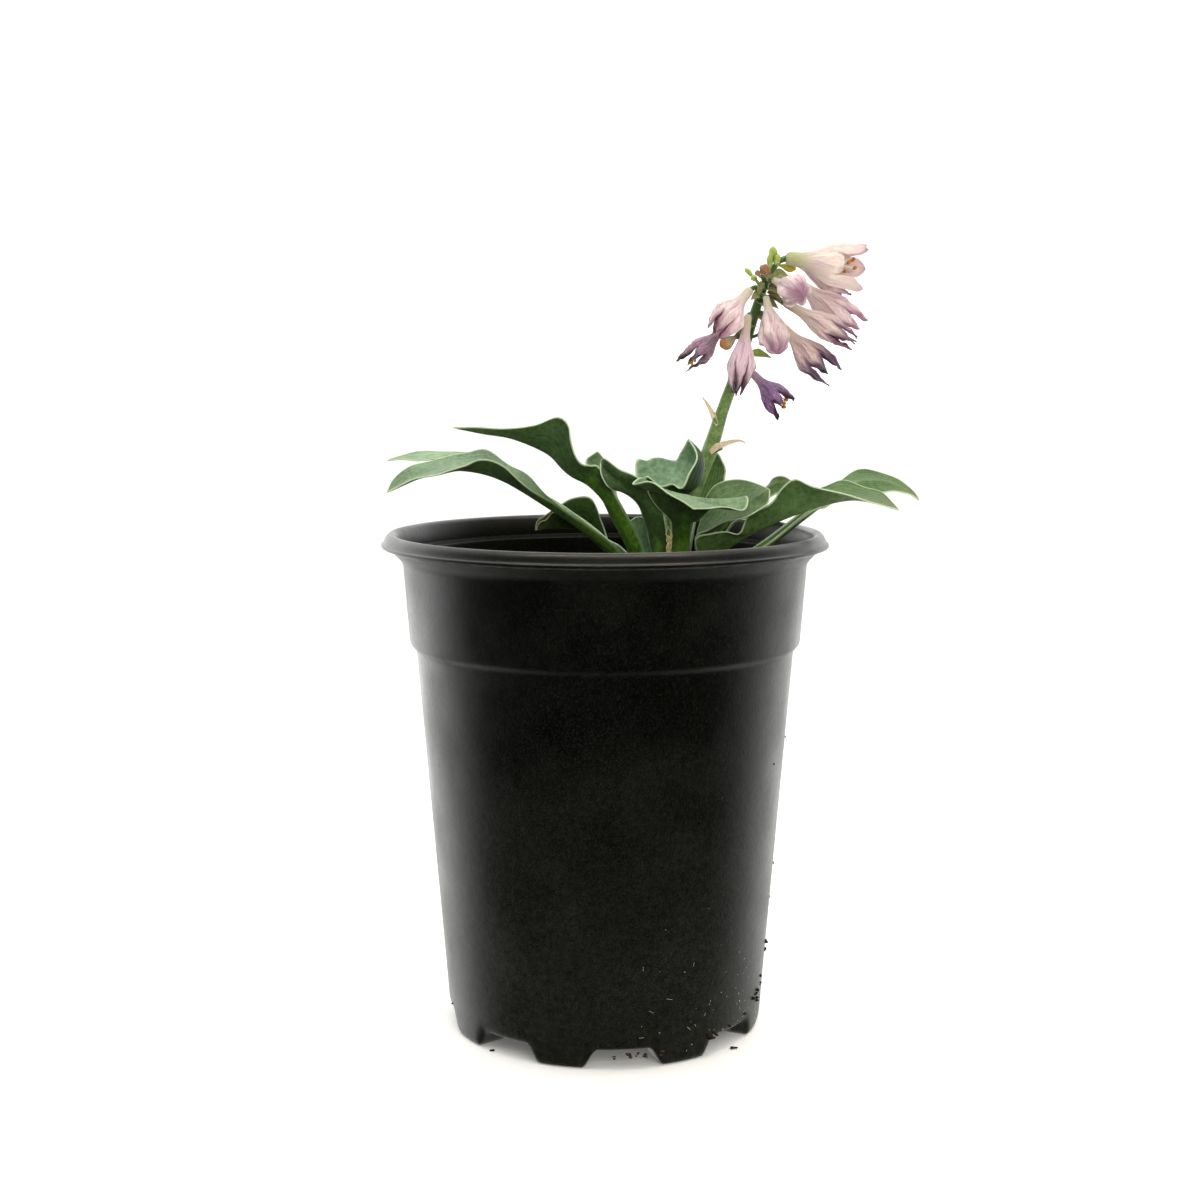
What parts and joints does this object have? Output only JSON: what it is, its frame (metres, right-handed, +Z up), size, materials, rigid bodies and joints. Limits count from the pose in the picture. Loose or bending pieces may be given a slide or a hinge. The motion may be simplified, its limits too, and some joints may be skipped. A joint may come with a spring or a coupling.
{
  "type": "potted hosta plant",
  "caption": "Small blue-green hosta with waved leaves and a leaning stem of pale violet bell flowers, in a black plastic nursery pot with a rolled rim and feet.",
  "frame": {"origin": "on the floor, under the centre of the bounding box", "axes": "+Z up along the pot's axis; -Y is the front, the side with the long blades left and right; +X to the right of one who faces the front"},
  "size_m": [0.2038, 0.165, 0.2919],
  "materials": {
    "pot_plastic": "satin, moulded",
    "potting_soil": "loose and matte",
    "hosta_leaf": "waxy and smooth",
    "flower_stem": "smooth and fleshy",
    "pink_petal": "soft and thin",
    "violet_petal": "soft, thin and wilted",
    "green_bract": "smooth",
    "dry_bract": "papery",
    "young_pod": "smooth"
  },
  "bodies": {
    "root": {"bract_green": "green_bract", "bract_left": "dry_bract", "bract_low": "green_bract", "bract_right": "dry_bract", "bract_yellow": "green_bract", "bud_brown": "dry_bract", "dry_sheath": "dry_bract", "flower_01": "pink_petal", "flower_02": "pink_petal", "flower_03": "pink_petal", "flower_04": "pink_petal", "flower_05": "pink_petal", "flower_06": "pink_petal", "flower_07": "pink_petal", "flower_08": "violet_petal", "flower_09": "pink_petal", "flower_10": "violet_petal", "flower_11": "pink_petal", "flower_stem": "flower_stem", "leaf_back": "hosta_leaf", "leaf_back_right": "hosta_leaf", "leaf_behind_stem": "hosta_leaf", "leaf_cup": "hosta_leaf", "leaf_front": "hosta_leaf", "leaf_front_left": "hosta_leaf", "leaf_front_right": "hosta_leaf", "leaf_left_behind": "hosta_leaf", "leaf_left_high": "hosta_leaf", "leaf_left_low": "hosta_leaf", "leaf_left_short": "hosta_leaf", "leaf_left_tip": "hosta_leaf", "leaf_right_behind": "hosta_leaf", "leaf_right_long": "hosta_leaf", "leaf_right_tip": "hosta_leaf", "leaf_small": "hosta_leaf", "pod_left": "young_pod", "pod_right": "young_pod", "pot": "pot_plastic", "soil": "potting_soil", "top_bud": "green_bract"}
  },
  "joints": []
}
